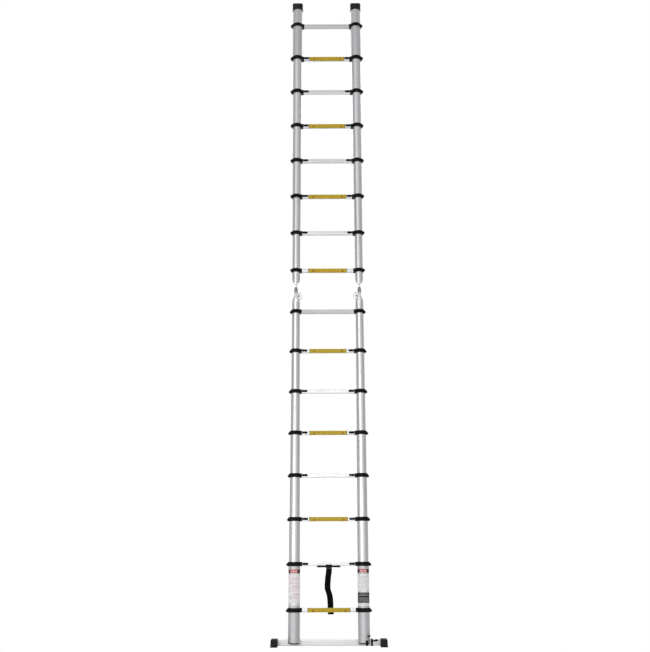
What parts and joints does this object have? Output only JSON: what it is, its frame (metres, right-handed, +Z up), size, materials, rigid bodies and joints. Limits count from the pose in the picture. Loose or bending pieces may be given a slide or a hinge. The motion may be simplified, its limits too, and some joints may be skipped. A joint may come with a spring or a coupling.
{
  "type": "telescopic double extension ladder",
  "caption": "Telescopic aluminium double ladder: nested round rails that slide rung by rung, black collars and sprung latches, fold hinges half way up, and a wide stabiliser bar.",
  "frame": {"origin": "on the ground, under the middle of the whole part", "axes": "+Z up the ladder, +X to the right seen from the front, +Y to the rear, towards the fold hinges"},
  "size_m": [0.784, 0.1187, 4.95],
  "materials": {
    "tube": "satin anodised, drawn along the tube",
    "rung": "satin extrusion with a ribbed tread",
    "collar": "moulded nylon with a slight sheen",
    "latch": "moulded nylon",
    "cap_rubber": "moulded rubber",
    "foot_rubber": "ribbed moulded rubber",
    "hinge": "die cast, lightly blasted",
    "hinge_dark": "die cast, dark anodised",
    "steel": "zinc plated",
    "bar": "satin extrusion",
    "clamp": "moulded nylon",
    "webbing": "woven webbing",
    "handle": "moulded, slight sheen",
    "label_yellow": "printed vinyl",
    "label_red": "printed vinyl",
    "label_white": "printed vinyl",
    "label_black": "printed vinyl"
  },
  "bodies": {
    "base": {"base_tube_left": "tube", "base_tube_right": "tube", "step_1": "rung", "step_2": "rung", "stabiliser_bar": "bar", "bar_foot_left": "foot_rubber", "bar_foot_right": "foot_rubber", "bar_clamp": "clamp", "rail_clip": "clamp", "strap": "webbing", "strap_handle": "handle"},
    "section_3": {"section_3": "tube"},
    "section_4": {"section_4": "tube"},
    "section_5": {"section_5": "tube"},
    "section_6": {"section_6": "tube"},
    "section_7": {"section_7": "tube"},
    "section_8": {"section_8": "tube", "lower_hinge_left": "hinge", "lower_hinge_right": "hinge"},
    "section_9": {"section_9": "tube", "upper_hinge_left": "hinge", "upper_hinge_right": "hinge"},
    "section_10": {"section_10": "tube"},
    "section_11": {"section_11": "tube"},
    "section_12": {"section_12": "tube"},
    "section_13": {"section_13": "tube"},
    "section_14": {"section_14": "tube"},
    "top": {"top_tube_left": "tube", "top_tube_right": "tube", "step_15": "rung", "step_16": "rung", "top_cap_left": "cap_rubber", "top_cap_right": "cap_rubber"},
    "latch_2_left": {"latch_2_left": "latch"},
    "latch_2_right": {"latch_2_right": "latch"},
    "latch_3_left": {"latch_3_left": "latch"},
    "latch_3_right": {"latch_3_right": "latch"},
    "latch_4_left": {"latch_4_left": "latch"},
    "latch_4_right": {"latch_4_right": "latch"},
    "latch_5_left": {"latch_5_left": "latch"},
    "latch_5_right": {"latch_5_right": "latch"},
    "latch_6_left": {"latch_6_left": "latch"},
    "latch_6_right": {"latch_6_right": "latch"},
    "latch_7_left": {"latch_7_left": "latch"},
    "latch_7_right": {"latch_7_right": "latch"},
    "latch_10_left": {"latch_10_left": "latch"},
    "latch_10_right": {"latch_10_right": "latch"},
    "latch_11_left": {"latch_11_left": "latch"},
    "latch_11_right": {"latch_11_right": "latch"},
    "latch_12_left": {"latch_12_left": "latch"},
    "latch_12_right": {"latch_12_right": "latch"},
    "latch_13_left": {"latch_13_left": "latch"},
    "latch_13_right": {"latch_13_right": "latch"},
    "latch_14_left": {"latch_14_left": "latch"},
    "latch_14_right": {"latch_14_right": "latch"},
    "latch_15_left": {"latch_15_left": "latch"},
    "latch_15_right": {"latch_15_right": "latch"},
    "hinge_lock_left": {"hinge_lock_left": "steel"},
    "hinge_lock_right": {"hinge_lock_right": "steel"},
    "clamp_lever": {"clamp_lever": "clamp"}
  },
  "joints": [
    {"name": "fold", "type": "hinge", "parent": "section_8", "child": "section_9", "pos_m": [0, 0.0395, 2.495], "axis": [-1, 0, 0], "range_deg": [0, 180]},
    {"name": "slide_3", "type": "slide", "parent": "base", "child": "section_3", "axis": [0, 0, -1], "range_m": [0, 0.262]},
    {"name": "slide_4", "type": "slide", "parent": "section_3", "child": "section_4", "axis": [0, 0, -1], "range_m": [0, 0.262]},
    {"name": "slide_5", "type": "slide", "parent": "section_4", "child": "section_5", "axis": [0, 0, -1], "range_m": [0, 0.262]},
    {"name": "slide_6", "type": "slide", "parent": "section_5", "child": "section_6", "axis": [0, 0, -1], "range_m": [0, 0.262]},
    {"name": "slide_7", "type": "slide", "parent": "section_6", "child": "section_7", "axis": [0, 0, -1], "range_m": [0, 0.262]},
    {"name": "slide_8", "type": "slide", "parent": "section_7", "child": "section_8", "axis": [0, 0, -1], "range_m": [0, 0.262]},
    {"name": "slide_10", "type": "slide", "parent": "section_9", "child": "section_10", "axis": [0, 0, -1], "range_m": [0, 0.262]},
    {"name": "slide_11", "type": "slide", "parent": "section_10", "child": "section_11", "axis": [0, 0, -1], "range_m": [0, 0.262]},
    {"name": "slide_12", "type": "slide", "parent": "section_11", "child": "section_12", "axis": [0, 0, -1], "range_m": [0, 0.262]},
    {"name": "slide_13", "type": "slide", "parent": "section_12", "child": "section_13", "axis": [0, 0, -1], "range_m": [0, 0.262]},
    {"name": "slide_14", "type": "slide", "parent": "section_13", "child": "section_14", "axis": [0, 0, -1], "range_m": [0, 0.262]},
    {"name": "slide_top", "type": "slide", "parent": "section_14", "child": "top", "axis": [0, 0, -1], "range_m": [0, 0.262]},
    {"name": "hinge_lock_left", "type": "slide", "parent": "section_8", "child": "hinge_lock_left", "axis": [1, 0, 0], "range_m": [0, 0.008], "stiffness_N_per_m": 600, "springref_m": -0.006},
    {"name": "hinge_lock_right", "type": "slide", "parent": "section_8", "child": "hinge_lock_right", "axis": [-1, 0, 0], "range_m": [0, 0.008], "stiffness_N_per_m": 600, "springref_m": -0.006},
    {"name": "clamp_lever", "type": "hinge", "parent": "base", "child": "clamp_lever", "pos_m": [0.289, 0.0234, 0.035], "axis": [0, -1, 0], "range_deg": [0, 90]},
    {"name": "latch_2_left", "type": "slide", "parent": "base", "child": "latch_2_left", "axis": [1, 0, 0], "range_m": [0, 0.008], "stiffness_N_per_m": 300, "springref_m": -0.006},
    {"name": "latch_2_right", "type": "slide", "parent": "base", "child": "latch_2_right", "axis": [-1, 0, 0], "range_m": [0, 0.008], "stiffness_N_per_m": 300, "springref_m": -0.006},
    {"name": "latch_3_left", "type": "slide", "parent": "section_3", "child": "latch_3_left", "axis": [1, 0, 0], "range_m": [0, 0.008], "stiffness_N_per_m": 300, "springref_m": -0.006},
    {"name": "latch_3_right", "type": "slide", "parent": "section_3", "child": "latch_3_right", "axis": [-1, 0, 0], "range_m": [0, 0.008], "stiffness_N_per_m": 300, "springref_m": -0.006},
    {"name": "latch_4_left", "type": "slide", "parent": "section_4", "child": "latch_4_left", "axis": [1, 0, 0], "range_m": [0, 0.008], "stiffness_N_per_m": 300, "springref_m": -0.006},
    {"name": "latch_4_right", "type": "slide", "parent": "section_4", "child": "latch_4_right", "axis": [-1, 0, 0], "range_m": [0, 0.008], "stiffness_N_per_m": 300, "springref_m": -0.006},
    {"name": "latch_5_left", "type": "slide", "parent": "section_5", "child": "latch_5_left", "axis": [1, 0, 0], "range_m": [0, 0.008], "stiffness_N_per_m": 300, "springref_m": -0.006},
    {"name": "latch_5_right", "type": "slide", "parent": "section_5", "child": "latch_5_right", "axis": [-1, 0, 0], "range_m": [0, 0.008], "stiffness_N_per_m": 300, "springref_m": -0.006},
    {"name": "latch_6_left", "type": "slide", "parent": "section_6", "child": "latch_6_left", "axis": [1, 0, 0], "range_m": [0, 0.008], "stiffness_N_per_m": 300, "springref_m": -0.006},
    {"name": "latch_6_right", "type": "slide", "parent": "section_6", "child": "latch_6_right", "axis": [-1, 0, 0], "range_m": [0, 0.008], "stiffness_N_per_m": 300, "springref_m": -0.006},
    {"name": "latch_7_left", "type": "slide", "parent": "section_7", "child": "latch_7_left", "axis": [1, 0, 0], "range_m": [0, 0.008], "stiffness_N_per_m": 300, "springref_m": -0.006},
    {"name": "latch_7_right", "type": "slide", "parent": "section_7", "child": "latch_7_right", "axis": [-1, 0, 0], "range_m": [0, 0.008], "stiffness_N_per_m": 300, "springref_m": -0.006},
    {"name": "latch_10_left", "type": "slide", "parent": "section_10", "child": "latch_10_left", "axis": [1, 0, 0], "range_m": [0, 0.008], "stiffness_N_per_m": 300, "springref_m": -0.006},
    {"name": "latch_10_right", "type": "slide", "parent": "section_10", "child": "latch_10_right", "axis": [-1, 0, 0], "range_m": [0, 0.008], "stiffness_N_per_m": 300, "springref_m": -0.006},
    {"name": "latch_11_left", "type": "slide", "parent": "section_11", "child": "latch_11_left", "axis": [1, 0, 0], "range_m": [0, 0.008], "stiffness_N_per_m": 300, "springref_m": -0.006},
    {"name": "latch_11_right", "type": "slide", "parent": "section_11", "child": "latch_11_right", "axis": [-1, 0, 0], "range_m": [0, 0.008], "stiffness_N_per_m": 300, "springref_m": -0.006},
    {"name": "latch_12_left", "type": "slide", "parent": "section_12", "child": "latch_12_left", "axis": [1, 0, 0], "range_m": [0, 0.008], "stiffness_N_per_m": 300, "springref_m": -0.006},
    {"name": "latch_12_right", "type": "slide", "parent": "section_12", "child": "latch_12_right", "axis": [-1, 0, 0], "range_m": [0, 0.008], "stiffness_N_per_m": 300, "springref_m": -0.006},
    {"name": "latch_13_left", "type": "slide", "parent": "section_13", "child": "latch_13_left", "axis": [1, 0, 0], "range_m": [0, 0.008], "stiffness_N_per_m": 300, "springref_m": -0.006},
    {"name": "latch_13_right", "type": "slide", "parent": "section_13", "child": "latch_13_right", "axis": [-1, 0, 0], "range_m": [0, 0.008], "stiffness_N_per_m": 300, "springref_m": -0.006},
    {"name": "latch_14_left", "type": "slide", "parent": "section_14", "child": "latch_14_left", "axis": [1, 0, 0], "range_m": [0, 0.008], "stiffness_N_per_m": 300, "springref_m": -0.006},
    {"name": "latch_14_right", "type": "slide", "parent": "section_14", "child": "latch_14_right", "axis": [-1, 0, 0], "range_m": [0, 0.008], "stiffness_N_per_m": 300, "springref_m": -0.006},
    {"name": "latch_15_left", "type": "slide", "parent": "top", "child": "latch_15_left", "axis": [1, 0, 0], "range_m": [0, 0.008], "stiffness_N_per_m": 300, "springref_m": -0.006},
    {"name": "latch_15_right", "type": "slide", "parent": "top", "child": "latch_15_right", "axis": [-1, 0, 0], "range_m": [0, 0.008], "stiffness_N_per_m": 300, "springref_m": -0.006}
  ]
}
